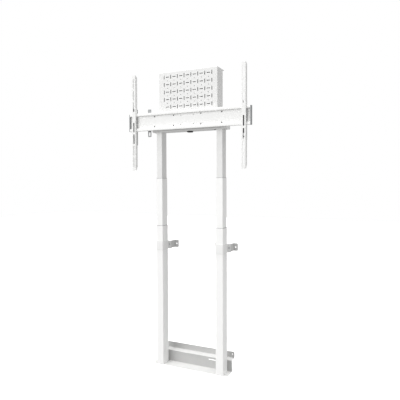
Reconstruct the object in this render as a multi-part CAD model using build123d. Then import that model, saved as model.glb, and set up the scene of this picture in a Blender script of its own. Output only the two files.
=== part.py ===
from build123d import *
from math import atan2, cos, sin
import os

# A motorised lift for a flat display: two telescopic columns on a folded base bracket,
# clamped to the wall behind them. They carry a beam with the drive, a crossbar with two
# sliding display arms, and a perforated plate for small devices.
# Millimetres. X runs to the right along the crossbar, Y back towards the wall, Z up.
# The origin lies on the floor, midway between the columns and on their centre plane.

# Driving sizes of the whole lift
column_spacing = 445.0
wall_distance = 93.0
middle_showing = 327.0
inner_showing = 313.0
cut_overrun = 3.0
seat_gap = 0.3
slide_gap = 0.3
running_gap = 0.08
hole_fit = 0.2

# Column tubes: width across, depth front to back, wall and corner radius of each stage
outer_width = 54.0
outer_depth = 76.0
outer_wall = 1.5
outer_length = 965.5
stage_gap = 1.5
middle_wall = 1.5
middle_length = 898.0
inner_wall = 1.5
inner_length = 890.0
outer_corner = 5.0
middle_corner = 4.0
inner_corner = 3.0
collar_lip = 2.0
collar_depth = 45.0
glide_length = 60.0
foot_plate = 8.0
top_plate = 8.0

middle_width = outer_width - 2 * (outer_wall + stage_gap)
middle_depth = outer_depth - 2 * (outer_wall + stage_gap)
inner_width = middle_width - 2 * (middle_wall + stage_gap)
inner_depth = middle_depth - 2 * (middle_wall + stage_gap)

# Base bracket: one folded sheet
base_sheet = 2.5
base_overhang = 58.5
base_length = column_spacing + 2 * base_overhang
base_toe = 2.0
base_shelf_height = 78.4
base_strip_top = 118.3
base_bend = 1.5
base_toe_corner = 12.0
base_strip_corner = 10.0
wall_hole_d = 8.0
wall_hole_inset = 14.5
wall_hole_drop = 17.0
cable_slot_length = 62.0
cable_slot_height = 6.0
cable_slot_inset = 80.5
cable_slot_x = column_spacing / 2 - cable_slot_inset
cable_slot_z = 59.0

# Countersunk screws from under the base bracket into the foot plates
base_screw_d = 6.0
base_screw_head_d = 9.0
base_screw_head = 2.0
base_screw_x = 13.0
base_screw_y = 24.0

# Wall clamp on each outer tube
clamp_sheet = 2.5
strap_below_top = 167.0
strap_height = 59.0
wall_bracket_drop = 1.0
wall_bracket_height = 52.0
clamp_half = 51.0
clamp_screw_x = 41.0
clamp_screw_d = 6.0
clamp_head_d = 11.0
clamp_head = 4.0
clamp_nut_height = 5.0
clamp_bend = 1.5
clamp_chamfer = 12.0
wall_flange = 32.0
wall_flange_corner = 6.0

# Screw drive inside each column
drive_screw_r = 5.0
hollow_screw_r = 8.5
hollow_bore_r = 6.0
pillar_r = 11.0
pillar_bore_r = 9.0
nut_r = 12.5
nut_height = 30.0
carrier_bore_r = 13.5
carrier_r = 15.5
pillar_below_top = 98.0
thrust_flange = 5.0
shoulder_height = 10.0
upper_nut_drop = 32.0
nut_spigot = 4.7
hollow_below_nut = 32.0
drive_below_nut = 23.0
shoe_plate = 8.0
thrust_r = 9.0

# Beam that houses the drive, across the tops of the columns
beam_overhang = 48.5
beam_length = column_spacing + 2 * beam_overhang
beam_front = 42.0
beam_back = 34.0
beam_height = 62.0
beam_sheet = 2.0
beam_round = 10.0
cover_lip = 8.0
beam_screw_x = 13.0
beam_screw_y = 19.0
beam_screw_d = 5.0
beam_screw_head_d = 9.0
beam_screw_head = 3.0
gearbox_length = 48.0
gearbox_depth = 36.0
gearbox_height = 44.0
gearbox_round = 4.0
gearbox_bore = 28.0
motor_d = 36.0
motor_length = 84.0
motor_boss_d = 16.0
motor_boss = 6.0
control_length = 150.0
control_depth = 52.0
control_height = 34.0
control_round = 5.0
control_ribs = 7
control_rib = 2.0
receiver_d = 42.0
receiver_depth = 8.0
receiver_neck_d = 24.0
receiver_y = -6.0
receiver_round_share = 0.6
grommet_d = 12.0
grommet_proud = 2.0
grommet_bore = 6.0
grommet_inset = 34.5
grommet_x = column_spacing / 2 - grommet_inset
grommet_y = -25.0

# Crossbar: folded section with a recessed web and a rail along its top and bottom
bar_length = 878.0
bar_height = 121.0
bar_front = 64.5
bar_depth = 14.0
bar_sheet = 2.0
bar_rail = 18.0
bar_bend = 1.0
bar_over_beam = 12.0
end_cap_wall = 6.0
end_cap_depth = 24.0
end_cap_corner = 3.0
end_cap_tongue = 15.0
bolt_outset = 24.0
bolt_outer_x = column_spacing / 2 + bolt_outset
bolt_inner_x = 100.0
bolt_half_height = 34.0
bolt_d = 5.0
bolt_head_d = 8.0
bolt_head = 2.6
bolt_head_top_d = 5.0
bolt_length = 12.0
spare_hole_x = 46.5
spare_hole_half = 29.5
spare_hole_d = 6.0
spacer_d = 12.0

# Hangers between the crossbar and the beam
hanger_width = 40.0
hanger_sheet = 3.0
hanger_foot = 6.0
hanger_top_room = 15.0
hanger_bend = 1.0

# Media bracket: perforated plate with side flanges and a top flange
media_width = 428.0
media_height = 370.0
media_sheet = 1.5
media_side_depth = 90.5
media_top_depth = 125.5
media_bend = 1.5
media_over_beam = 30.0
media_pitch = 50.0
media_columns = 8
media_rows = 5
media_first_row = 34.0
upright_slot_length = 26.0
upright_slot_width = 5.0
level_slot_length = 24.0
level_slot_width = 4.5
plate_hole_d = 5.0
back_panel_gap = 48.0
back_panel_return = 14.0

# Cable hook behind the crossbar
hook_x = -292.0
hook_width = 25.0
hook_sheet = 3.0
hook_above_bar = 27.0
hook_below_bar = 41.0
hook_eye_width = 11.0
hook_eye_length = 26.0
hook_pad_height = 60.0
hook_corner = 5.0

# Display arms
arm_end_inset = 39.0
arm_x = bar_length / 2 - arm_end_inset
arm_width = 30.0
arm_front = 75.0
arm_sheet = 2.0
arm_depth = 22.0
arm_length = 654.0
arm_below_bar = 270.0
arm_bend = 1.5
arm_foot_slope = 25.0
arm_head_slope = 12.0
arm_slot_width = 9.0
arm_slot_length = 67.0
arm_slot_pitch = 80.0
arm_slots_low = 4
arm_slots_high = 3
arm_slot_margin = 23.0
arm_gap = 0.5
claw_sheet = 2.5
claw_depth = 30.5
claw_below_bar = 100.0
claw_above_bar = 37.0
claw_tooth = 10.0
claw_slope = 8.0
claw_web_above_bar = 11.0
claw_web_below_bar = 75.0
claw_port_width = 9.0
claw_port_height = 19.0
claw_port_below_bar = 50.0
claw_bend_room = 2.0
lock_screw_d = 6.0
lock_head_d = 11.0
lock_head = 6.0
lock_bridge = 3.0
lock_bridge_drop = 22.0
lock_bridge_depth = 16.0

# Heights and planes that follow from the sizes above
plate_top = base_sheet
outer_top = plate_top + outer_length
outer_collar_top = outer_top + collar_lip
strap_bottom = outer_top - strap_below_top
middle_collar_top = outer_collar_top + middle_showing
middle_top = middle_collar_top - collar_lip
middle_bottom = middle_top - middle_length
beam_bottom = middle_collar_top + inner_showing
beam_top = beam_bottom + beam_height
inner_top = beam_bottom
inner_bottom = inner_top - inner_length
bar_bottom = beam_bottom + bar_over_beam
bar_top = bar_bottom + bar_height
bar_middle = bar_bottom + bar_height / 2
bar_back = bar_front - bar_depth
web_front = bar_back + bar_sheet
media_back = beam_front
media_front = media_back + media_sheet
media_bottom = beam_bottom + media_over_beam
media_top = media_bottom + media_height
foot_top = plate_top + foot_plate
pillar_top = outer_top - pillar_below_top
carrier_bottom = middle_bottom + shoe_plate
carrier_top = middle_top - upper_nut_drop - nut_height
arm_bottom = bar_bottom - arm_below_bar
arm_top = arm_bottom + arm_length
sides = {"left": -1, "right": 1}
parts = {}


def keep(name, shape):
    """Store one named sub-part."""
    parts[name] = shape


def turned(points):
    """Solid turned about Z from an outline of radius and height pairs."""
    outline = make_face(Plane.XZ * Polyline(*points, close=True))
    return revolve(outline, Axis.Z)


def sleeve(bore, radius, low, high):
    """Upright tube round the Z axis between two heights."""
    return turned([(bore, low), (radius, low), (radius, high), (bore, high)])


def drum(radius, low, high, x=0, y=0):
    """Upright cylinder between two heights."""
    return Pos(x, y, low) * extrude(Circle(radius), high - low)


def facing_back(x, y, z):
    """Upright plane square to the crossbar, from which an extrusion runs towards the wall."""
    return Plane(origin=(x, y, z), x_dir=(1, 0, 0), z_dir=(0, 1, 0))


def facing_front(x, y, z):
    """The same plane turned round, from which an extrusion runs towards the room."""
    return Plane(origin=(x, y, z), x_dir=(1, 0, 0), z_dir=(0, -1, 0))


def cross_drill(diameter, x, z, front, back):
    """Cylinder along Y, from one plane to another, for a hole or a shank."""
    return extrude(facing_back(x, front, z) * Circle(diameter / 2), back - front)


def wall_drill(diameter, x, z, front, back):
    """Hole along Y through the sheet between two planes, run past both."""
    return cross_drill(diameter, x, z, front - cut_overrun, back + cut_overrun)


def floor_drill(radius, low, high, x, y=0):
    """Upright hole through what lies between two heights, run past both."""
    return drum(radius, low - cut_overrun, high + cut_overrun, x, y)


def block(x0, x1, y0, y1, z0, z1):
    """Plain box between two corners, for cuts and as the start of a shape."""
    middle = Pos((x0 + x1) / 2, (y0 + y1) / 2, (z0 + z1) / 2)
    return middle * Box(x1 - x0, y1 - y0, z1 - z0)


def unit(start, end):
    """Direction of one stretch of a path, as two numbers."""
    turn = atan2(end[1] - start[1], end[0] - start[0])
    return cos(turn), sin(turn)


def folded(points, thickness, bends):
    """Section of a bent sheet whose thickness lies on the left of the given path.

    The last argument holds the inner radius of each bend, in the path's order.
    """
    steps = [unit(points[i], points[i + 1]) for i in range(len(points) - 1)]
    first = (-steps[0][1], steps[0][0])
    offset_points = [(points[0][0] + thickness * first[0], points[0][1] + thickness * first[1])]
    near = []
    far = []
    for i in range(1, len(points) - 1):
        before = steps[i - 1]
        after = steps[i]
        cross = before[0] * after[1] - before[1] * after[0]
        normal = (-before[1] - after[1], before[0] + after[0])
        scale = thickness / (1 + before[0] * after[0] + before[1] * after[1])
        offset_points.append((points[i][0] + normal[0] * scale, points[i][1] + normal[1] * scale))
        near.append(bends[i - 1] + thickness if cross > 0 else bends[i - 1])
        far.append(bends[i - 1] if cross > 0 else bends[i - 1] + thickness)
    last = (-steps[-1][1], steps[-1][0])
    offset_points.append((points[-1][0] + thickness * last[0], points[-1][1] + thickness * last[1]))
    near_line = FilletPolyline(*points, radius=near)
    far_line = FilletPolyline(*offset_points, radius=far)
    start_cap = Line(offset_points[0], points[0])
    end_cap = Line(points[-1], offset_points[-1])
    return make_face(near_line.edges() + far_line.edges() + [start_cap.edge(), end_cap.edge()])


def tube_section(width, depth, corner, inset):
    """Rounded rectangle of one tube, drawn in by an inset."""
    return RectangleRounded(width - 2 * inset, depth - 2 * inset, corner - inset)


def ring(outer, inner, low, high, x):
    """Upright ring between two tube sections."""
    return Pos(x, 0, low) * extrude(outer - inner, high - low)


def cross_section_along_x(face, length, x=0):
    """Extrude a section drawn in Y and Z along X, centred on a place."""
    return Pos(x, 0, 0) * extrude(Plane.YZ * face, length / 2, both=True)


def build_base_bracket():
    """Floor plate, upright panel, shelf and wall strip, folded from one sheet."""
    toe = -(outer_depth / 2 + base_toe)
    panel = outer_depth / 2 + base_bend
    wall_front = wall_distance - base_sheet
    path = [
        (toe, 0),
        (panel + base_sheet, 0),
        (panel + base_sheet, base_shelf_height - base_sheet),
        (wall_distance, base_shelf_height - base_sheet),
        (wall_distance, base_strip_top),
    ]
    bracket = cross_section_along_x(folded(path, base_sheet, [base_bend] * 3), base_length)
    toe_edges = bracket.edges().filter_by(Axis.Z).group_by(Axis.Y)[0]
    bracket = fillet(toe_edges, base_toe_corner)
    top_edges = bracket.edges().filter_by(Axis.Y).group_by(Axis.Z)[-1]
    bracket = fillet(top_edges, base_strip_corner)
    for side in sides.values():
        x = side * (base_length / 2 - wall_hole_inset)
        z = base_strip_top - wall_hole_drop
        bracket -= wall_drill(wall_hole_d, x, z, wall_front, wall_distance)
    slot_plane = facing_back(cable_slot_x, panel - cut_overrun, cable_slot_z)
    slot = slot_plane * SlotOverall(cable_slot_length, cable_slot_height)
    bracket -= extrude(slot, base_sheet + 2 * cut_overrun)
    for x, y in base_screw_places():
        bracket -= Pos(x, y, 0) * base_screw_form(hole_fit)
    keep("base_bracket", bracket)


def base_screw_places():
    """Places of the eight screws under the columns."""
    places = []
    for side in sides.values():
        for x in (-base_screw_x, base_screw_x):
            for y in (-base_screw_y, base_screw_y):
                places.append((side * column_spacing / 2 + x, y))
    return places


def base_screw_form(extra):
    """Countersunk screw, or the hole that it needs where extra is more than zero."""
    low = seat_gap if extra == 0 else -cut_overrun
    head_r = base_screw_head_d / 2 + extra
    shank_r = base_screw_d / 2 + extra
    head_end = seat_gap + base_screw_head
    points = [(0, low), (head_r, low), (shank_r, head_end), (shank_r, foot_top), (0, foot_top)]
    if extra > 0:
        points.insert(2, (head_r, seat_gap))
    return turned(points)


def build_base_screws():
    """Screws from under the base bracket into the foot plates."""
    screws = [Pos(x, y, 0) * base_screw_form(0) for x, y in base_screw_places()]
    keep("base_screws", Compound(children=screws))


def build_column(label, side):
    """Tubes, collars and glides of one telescopic column."""
    x = side * column_spacing / 2
    outer_face = tube_section(outer_width, outer_depth, outer_corner, 0)
    outer_bore = tube_section(outer_width, outer_depth, outer_corner, outer_wall)
    middle_face = tube_section(middle_width, middle_depth, middle_corner, 0)
    middle_bore = tube_section(middle_width, middle_depth, middle_corner, middle_wall)
    inner_face = tube_section(inner_width, inner_depth, inner_corner, 0)
    inner_bore = tube_section(inner_width, inner_depth, inner_corner, inner_wall)
    middle_room = tube_section(middle_width, middle_depth, middle_corner, -slide_gap)
    inner_room = tube_section(inner_width, inner_depth, inner_corner, -slide_gap)
    outer_shoe = tube_section(outer_width, outer_depth, outer_corner, outer_wall + slide_gap)
    middle_shoe = tube_section(middle_width, middle_depth, middle_corner, middle_wall + slide_gap)

    outer = ring(outer_face, outer_bore, plate_top, outer_top, x)
    outer += Pos(x, 0, plate_top) * extrude(outer_bore, foot_plate)
    for px, py in base_screw_places():
        if abs(px - x) < outer_width:
            outer -= drum(base_screw_d / 2, 0, foot_top + cut_overrun, px, py)
    keep(label + "_outer_tube", outer)
    collar = ring(outer_bore, middle_room, outer_top - collar_depth, outer_top, x)
    collar += ring(outer_face, middle_room, outer_top, outer_collar_top, x)
    keep(label + "_outer_collar", collar)

    keep(label + "_middle_tube", ring(middle_face, middle_bore, middle_bottom, middle_top, x))
    collar = ring(middle_bore, inner_room, middle_top - collar_depth, middle_top, x)
    collar += ring(middle_face, inner_room, middle_top, middle_collar_top, x)
    keep(label + "_middle_collar", collar)
    shoe = ring(outer_shoe, middle_face, middle_bottom, middle_bottom + glide_length, x)
    shoe += Pos(x, 0, middle_bottom - collar_lip) * extrude(outer_shoe, collar_lip)
    shoe += Pos(x, 0, middle_bottom) * extrude(middle_bore, shoe_plate)
    shoe -= drum(pillar_r + stage_gap, middle_bottom - collar_lip, carrier_bottom, x)
    keep(label + "_middle_shoe", shoe)

    inner = ring(inner_face, inner_bore, inner_bottom, inner_top, x)
    inner += Pos(x, 0, inner_top - top_plate) * extrude(inner_bore, top_plate)
    inner -= floor_drill(drive_screw_r + running_gap, inner_top - top_plate, inner_top, x)
    for px, py in beam_screw_places(x):
        inner -= floor_drill(beam_screw_d / 2, inner_top - top_plate, inner_top, px, py)
    keep(label + "_inner_tube", inner)
    keep(label + "_inner_glide", ring(middle_shoe, inner_face, inner_bottom, inner_bottom + glide_length, x))


def build_drive(label, side):
    """Pillar, nuts, carrier and screws inside one column."""
    x = side * column_spacing / 2
    keep(label + "_base_pillar", Pos(x, 0, 0) * sleeve(pillar_bore_r, pillar_r, foot_top, pillar_top))
    nut_bore = hollow_screw_r + running_gap
    lower_nut = sleeve(nut_bore, nut_r, pillar_top, pillar_top + nut_height)
    keep(label + "_lower_nut", Pos(x, 0, 0) * lower_nut)

    thrust_top = carrier_top - nut_spigot - seat_gap
    thrust_bottom = thrust_top - thrust_flange
    shoulder_top = thrust_bottom - seat_gap
    shoulder_bottom = shoulder_top - shoulder_height
    shoulder_bore = hollow_screw_r + running_gap
    carrier = turned([
        (carrier_bore_r, carrier_bottom),
        (carrier_r, carrier_bottom),
        (carrier_r, carrier_top),
        (carrier_bore_r, carrier_top),
        (carrier_bore_r, shoulder_top),
        (shoulder_bore, shoulder_top),
        (shoulder_bore, shoulder_bottom),
        (carrier_bore_r, shoulder_bottom),
    ])
    keep(label + "_carrier_tube", Pos(x, 0, 0) * carrier)
    upper_bore = drive_screw_r + running_gap
    upper_top = carrier_top + nut_height
    upper_nut = turned([
        (upper_bore, carrier_top - nut_spigot),
        (carrier_bore_r, carrier_top - nut_spigot),
        (carrier_bore_r, carrier_top),
        (carrier_r, carrier_top),
        (carrier_r, upper_top),
        (upper_bore, upper_top),
    ])
    keep(label + "_upper_nut", Pos(x, 0, 0) * upper_nut)
    hollow_bottom = pillar_top - hollow_below_nut
    hollow_screw = turned([
        (hollow_bore_r, hollow_bottom),
        (hollow_screw_r, hollow_bottom),
        (hollow_screw_r, thrust_bottom),
        (nut_r, thrust_bottom),
        (nut_r, thrust_top),
        (hollow_bore_r, thrust_top),
    ])
    keep(label + "_hollow_screw", Pos(x, 0, 0) * hollow_screw)
    plate_under = inner_top - top_plate - seat_gap
    drive_top = inner_top + beam_sheet + gearbox_bore
    drive_bottom = carrier_top - drive_below_nut
    drive_screw = turned([
        (0, drive_bottom),
        (drive_screw_r, drive_bottom),
        (drive_screw_r, plate_under - thrust_flange),
        (thrust_r, plate_under - thrust_flange),
        (thrust_r, plate_under),
        (drive_screw_r, plate_under),
        (drive_screw_r, drive_top),
        (0, drive_top),
    ])
    keep(label + "_drive_screw", Pos(x, 0, 0) * drive_screw)


def build_wall_clamp(label, side):
    """Strap round the front and sides of a tube, and the bracket behind it."""
    x = side * column_spacing / 2
    half = outer_width / 2
    ear_back = outer_depth / 2
    path = [
        (clamp_half, ear_back),
        (half, ear_back),
        (half, -outer_depth / 2),
        (-half, -outer_depth / 2),
        (-half, ear_back),
        (-clamp_half, ear_back),
    ]
    strap_bends = [clamp_bend, outer_corner, outer_corner, clamp_bend]
    strap = Pos(x, 0, strap_bottom) * extrude(folded(path, clamp_sheet, strap_bends), strap_height)
    strap_top = strap_bottom + strap_height
    bracket_top = strap_top - wall_bracket_drop
    bracket_bottom = bracket_top - wall_bracket_height
    back = wall_distance
    hat_half = clamp_half - clamp_sheet
    crown_back = ear_back + clamp_sheet
    hat = [
        (clamp_half + wall_flange, back),
        (hat_half, back),
        (hat_half, crown_back),
        (-hat_half, crown_back),
        (-hat_half, back),
        (-clamp_half - wall_flange, back),
    ]
    hat_section = folded(hat, clamp_sheet, [clamp_bend] * 4)
    bracket = Pos(x, 0, bracket_bottom) * extrude(hat_section, wall_bracket_height)
    corner_edges = bracket.edges().filter_by(Axis.Y).group_by(Axis.X)
    bracket = fillet(corner_edges[0] + corner_edges[-1], wall_flange_corner)
    for hand in sides.values():
        screw_x = x + hand * clamp_screw_x
        screw_z = bracket_middle()
        hole_d = clamp_screw_d + 2 * hole_fit
        hole_front = ear_back - clamp_sheet - cut_overrun
        hole = cross_drill(hole_d, screw_x, screw_z, hole_front, crown_back + cut_overrun)
        strap -= hole
        bracket -= hole
        flange_x = x + hand * (clamp_half + wall_flange / 2)
        bracket -= cross_drill(wall_hole_d, flange_x, screw_z, ear_back, back + cut_overrun)
        outer_x = x + hand * clamp_half
        corner = [
            (outer_x + hand * cut_overrun, strap_bottom - cut_overrun),
            (outer_x - hand * clamp_chamfer, strap_bottom - cut_overrun),
            (outer_x - hand * clamp_chamfer, strap_bottom),
            (outer_x, strap_bottom + clamp_chamfer),
            (outer_x + hand * cut_overrun, strap_bottom + clamp_chamfer),
        ]
        wedge = make_face(Plane.XZ * Polyline(*corner, close=True))
        strap -= Pos(0, ear_back + cut_overrun, 0) * extrude(wedge, 2 * cut_overrun + clamp_sheet)
    keep(label + "_clamp_strap", strap)
    keep(label + "_wall_bracket", bracket)


def bracket_middle():
    """Height of the clamp screws and of the wall screws beside them."""
    return strap_bottom + strap_height - wall_bracket_drop - wall_bracket_height / 2


def build_clamp_fasteners():
    """Hexagon screws through the ears of the straps, and their nuts."""
    screws = []
    nuts = []
    ear_front = outer_depth / 2 - clamp_sheet
    crown_back = outer_depth / 2 + clamp_sheet
    z = bracket_middle()
    for side in sides.values():
        for hand in sides.values():
            x = side * column_spacing / 2 + hand * clamp_screw_x
            head = extrude(facing_front(x, ear_front, z) * RegularPolygon(clamp_head_d / 2, 6), clamp_head)
            end = crown_back + clamp_nut_height + clamp_screw_d / 2
            shank = cross_drill(clamp_screw_d, x, z, ear_front, end)
            screws.append(head + shank)
            nut_form = facing_back(x, crown_back, z) * RegularPolygon(clamp_head_d / 2, 6)
            nut = extrude(nut_form, clamp_nut_height)
            nut -= cross_drill(clamp_screw_d, x, z, ear_front, end)
            nuts.append(nut)
    keep("clamp_screws", Compound(children=screws))
    keep("clamp_nuts", Compound(children=nuts))


def beam_screw_places(x):
    """Places of the four screws that hold the beam to one column."""
    return [(x + dx, dy) for dx in (-beam_screw_x, beam_screw_x) for dy in (-beam_screw_y, beam_screw_y)]


def beam_profile(inset, height):
    """Section of the beam tray, drawn in by an inset: rounded below, square above."""
    low = beam_bottom + inset
    front = -beam_front + inset
    back = beam_back - inset
    radius = beam_round - inset
    corners = [(front, height), (front, low), (back, low), (back, height)]
    line = FilletPolyline(*corners, radius=radius)
    lid = Line(corners[-1], corners[0])
    return make_face(line.edges() + [lid.edge()])


def build_beam():
    """Tray of the beam, its cover, and the screws down into the columns."""
    tray_top = beam_top - beam_sheet
    tray = cross_section_along_x(beam_profile(0, tray_top), beam_length)
    hollow = beam_profile(beam_sheet, tray_top + cut_overrun)
    tray -= cross_section_along_x(hollow, beam_length - 2 * beam_sheet)
    screws = []
    floor = beam_bottom + beam_sheet
    for side in sides.values():
        x = side * column_spacing / 2
        tray -= floor_drill(drive_screw_r + stage_gap, beam_bottom, floor, x)
        for px, py in beam_screw_places(x):
            tray -= floor_drill(beam_screw_d / 2 + hole_fit, beam_bottom, floor, px, py)
            screw = drum(beam_screw_d / 2, beam_bottom - top_plate, floor, px, py)
            screws.append(screw + drum(beam_screw_head_d / 2, floor, floor + beam_screw_head, px, py))
    for x, z in bolt_places():
        tray -= wall_drill(bolt_d + 2 * hole_fit, x, z, -beam_front, -beam_front + beam_sheet)
    tray -= floor_drill(receiver_neck_d / 2 + hole_fit, beam_bottom, floor, 0, receiver_y)
    tray -= floor_drill(grommet_d / 2 - grommet_proud / 2, beam_bottom, floor, grommet_x, grommet_y)
    keep("beam_housing", tray)
    keep("beam_screws", Compound(children=screws))

    cover = block(-beam_length / 2, beam_length / 2, -beam_front, beam_back, tray_top, beam_top)
    lip_x = beam_length / 2 - beam_sheet - seat_gap
    lip_front = -beam_front + beam_sheet + seat_gap
    lip_back = beam_back - beam_sheet - seat_gap
    cover += block(-lip_x, lip_x, lip_front, lip_front + beam_sheet, tray_top - cover_lip, tray_top)
    cover += block(-lip_x, lip_x, lip_back - beam_sheet, lip_back, tray_top - cover_lip, tray_top)
    cover = fillet(cover.edges().filter_by(Axis.X).group_by(Axis.Z)[-1], beam_sheet / 2)
    keep("beam_cover", cover)


def build_drive_units():
    """Gear boxes over the columns, motors beside them, control box, receiver and grommet."""
    floor = beam_bottom + beam_sheet
    for label, side in sides.items():
        x = side * column_spacing / 2
        half = gearbox_length / 2
        box = block(x - half, x + half, -gearbox_depth / 2, gearbox_depth / 2, floor, floor + gearbox_height)
        box = fillet(box.edges().filter_by(Axis.Z), gearbox_round)
        box = fillet(box.faces().sort_by(Axis.Z)[-1].edges(), gearbox_round / 2)
        for px, py in beam_screw_places(x):
            box -= drum(beam_screw_head_d / 2 + seat_gap, floor, floor + beam_screw_head + seat_gap, px, py)
        box -= drum(drive_screw_r + running_gap, floor - cut_overrun, floor + gearbox_bore + seat_gap, x)
        keep(label + "_gearbox", box)
        start = x - side * half
        axis_z = floor + gearbox_height / 2
        plane = Plane(origin=(start, 0, axis_z), x_dir=(0, 1, 0), z_dir=(-side, 0, 0))
        motor = extrude(plane * Circle(motor_d / 2), motor_length)
        motor = chamfer(motor.edges(), motor_boss / 3)
        tail = Plane(origin=(start - side * motor_length, 0, axis_z), x_dir=(0, 1, 0), z_dir=(-side, 0, 0))
        motor += extrude(tail * Circle(motor_boss_d / 2), motor_boss)
        keep(label + "_motor", motor)
    half = control_length / 2
    back = beam_back - beam_round
    control = block(-half, half, back - control_depth, back, floor, floor + control_height)
    control = fillet(control.edges().filter_by(Axis.Z), control_round)
    control = fillet(control.faces().sort_by(Axis.Z)[-1].edges(), control_round / 2)
    pitch = (control_length - 2 * control_round) / (control_ribs + 1)
    for i in range(control_ribs):
        x = -half + control_round + pitch * (i + 1)
        groove_floor = floor + control_height - control_rib
        low_y = back - control_depth + control_round
        control -= block(x - control_rib / 2, x + control_rib / 2, low_y, back - control_round, groove_floor,
                         groove_floor + control_rib + cut_overrun)
    keep("control_box", control)

    rim = receiver_d / 2
    dome_round = receiver_depth * receiver_round_share
    dome = drum(rim, beam_bottom - receiver_depth, beam_bottom, 0, receiver_y)
    dome = fillet(dome.edges().group_by(Axis.Z)[0], dome_round)
    dome += drum(receiver_neck_d / 2, beam_bottom, floor, 0, receiver_y)
    keep("receiver_dome", dome)
    hole_r = grommet_d / 2 - grommet_proud / 2
    grommet = turned([
        (grommet_bore / 2, -grommet_proud),
        (grommet_d / 2, -grommet_proud),
        (grommet_d / 2, 0),
        (hole_r, 0),
        (hole_r, beam_sheet),
        (grommet_d / 2, beam_sheet),
        (grommet_d / 2, beam_sheet + grommet_proud),
        (grommet_bore / 2, beam_sheet + grommet_proud),
    ])
    keep("cable_grommet", Pos(grommet_x, grommet_y, beam_bottom) * grommet)


def bolt_places():
    """Places of the crossbar bolts, as X and Z."""
    places = []
    for side in sides.values():
        for reach in (bolt_inner_x, bolt_outer_x):
            for rise in (-bolt_half_height, bolt_half_height):
                places.append((side * reach, bar_middle + rise))
    return places


def spare_places():
    """Places of the open holes through the crossbar and the plate behind it, as X and Z."""
    rises = (-spare_hole_half, spare_hole_half)
    return [(side * spare_hole_x, bar_middle + rise) for side in sides.values() for rise in rises]


def build_crossbar():
    """Folded crossbar, its end caps, its bolts, and the spacers behind it."""
    path = [
        (-bar_back, bar_bottom),
        (-bar_front, bar_bottom),
        (-bar_front, bar_bottom + bar_rail),
        (-bar_back - bar_sheet, bar_bottom + bar_rail),
        (-bar_back - bar_sheet, bar_top - bar_rail),
        (-bar_front, bar_top - bar_rail),
        (-bar_front, bar_top),
        (-bar_back, bar_top),
    ]
    bar = cross_section_along_x(folded(list(reversed(path)), bar_sheet, [bar_bend] * 6), bar_length)
    holes = bolt_places()
    for x, z in holes:
        bar -= wall_drill(bolt_d + 2 * hole_fit, x, z, -web_front, -bar_back)
    for x, z in spare_places():
        bar -= wall_drill(spare_hole_d, x, z, -web_front, -bar_back)
    keep("crossbar", bar)

    bolts = []
    spacers = []
    for x, z in holes:
        head = facing_front(x, -web_front, z) * Circle(bolt_head_d / 2)
        head_top = facing_front(x, -web_front - bolt_head, z) * Circle(bolt_head_top_d / 2)
        shank = cross_drill(bolt_d, x, z, -web_front, -web_front + bolt_length)
        bolts.append(loft([head, head_top]) + shank)
        if abs(x) == bolt_inner_x:
            spacer = cross_drill(spacer_d, x, z, -bar_back, -media_front)
            spacers.append(spacer - cross_drill(bolt_d + 2 * hole_fit, x, z, -bar_back, -media_front))
    keep("crossbar_bolts", Compound(children=bolts))
    keep("plate_spacers", Compound(children=spacers))

    for label, side in sides.items():
        start = side * bar_length / 2
        end = start + side * end_cap_wall
        low_y = -bar_front
        cap = block(min(start, end), max(start, end), low_y, low_y + end_cap_depth, bar_bottom, bar_top)
        cap = fillet(cap.edges().filter_by(Axis.X), end_cap_corner)
        cap = fillet(cap.faces().sort_by(Axis.X)[-1 if side > 0 else 0].edges(), end_cap_wall / 4)
        for low in (bar_bottom + bar_sheet + seat_gap, bar_top - bar_rail + bar_sheet + seat_gap):
            high = low + bar_rail - 2 * bar_sheet - 2 * seat_gap
            tip = start - side * end_cap_tongue
            front_y = -bar_front + bar_sheet + seat_gap
            cap += block(min(tip, start), max(tip, start), front_y, -bar_back, low, high)
        keep(label + "_end_cap", cap)


def build_hangers():
    """Channels between the crossbar's web and the front of the beam."""
    for label, side in sides.items():
        x = side * bolt_outer_x
        half = hanger_width / 2
        path = [(-half, -beam_front), (-half, -bar_back), (half, -bar_back), (half, -beam_front)]
        low = bar_bottom + hanger_foot
        high = bar_top - hanger_top_room
        hanger = Pos(x, 0, low) * extrude(folded(path, hanger_sheet, [hanger_bend] * 2), high - low)
        for rise in (-bolt_half_height, bolt_half_height):
            hole_back = -bar_back + hanger_sheet
            hanger -= wall_drill(bolt_d + 2 * hole_fit, x, bar_middle + rise, -bar_back, hole_back)
        keep(label + "_hanger", hanger)


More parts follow.
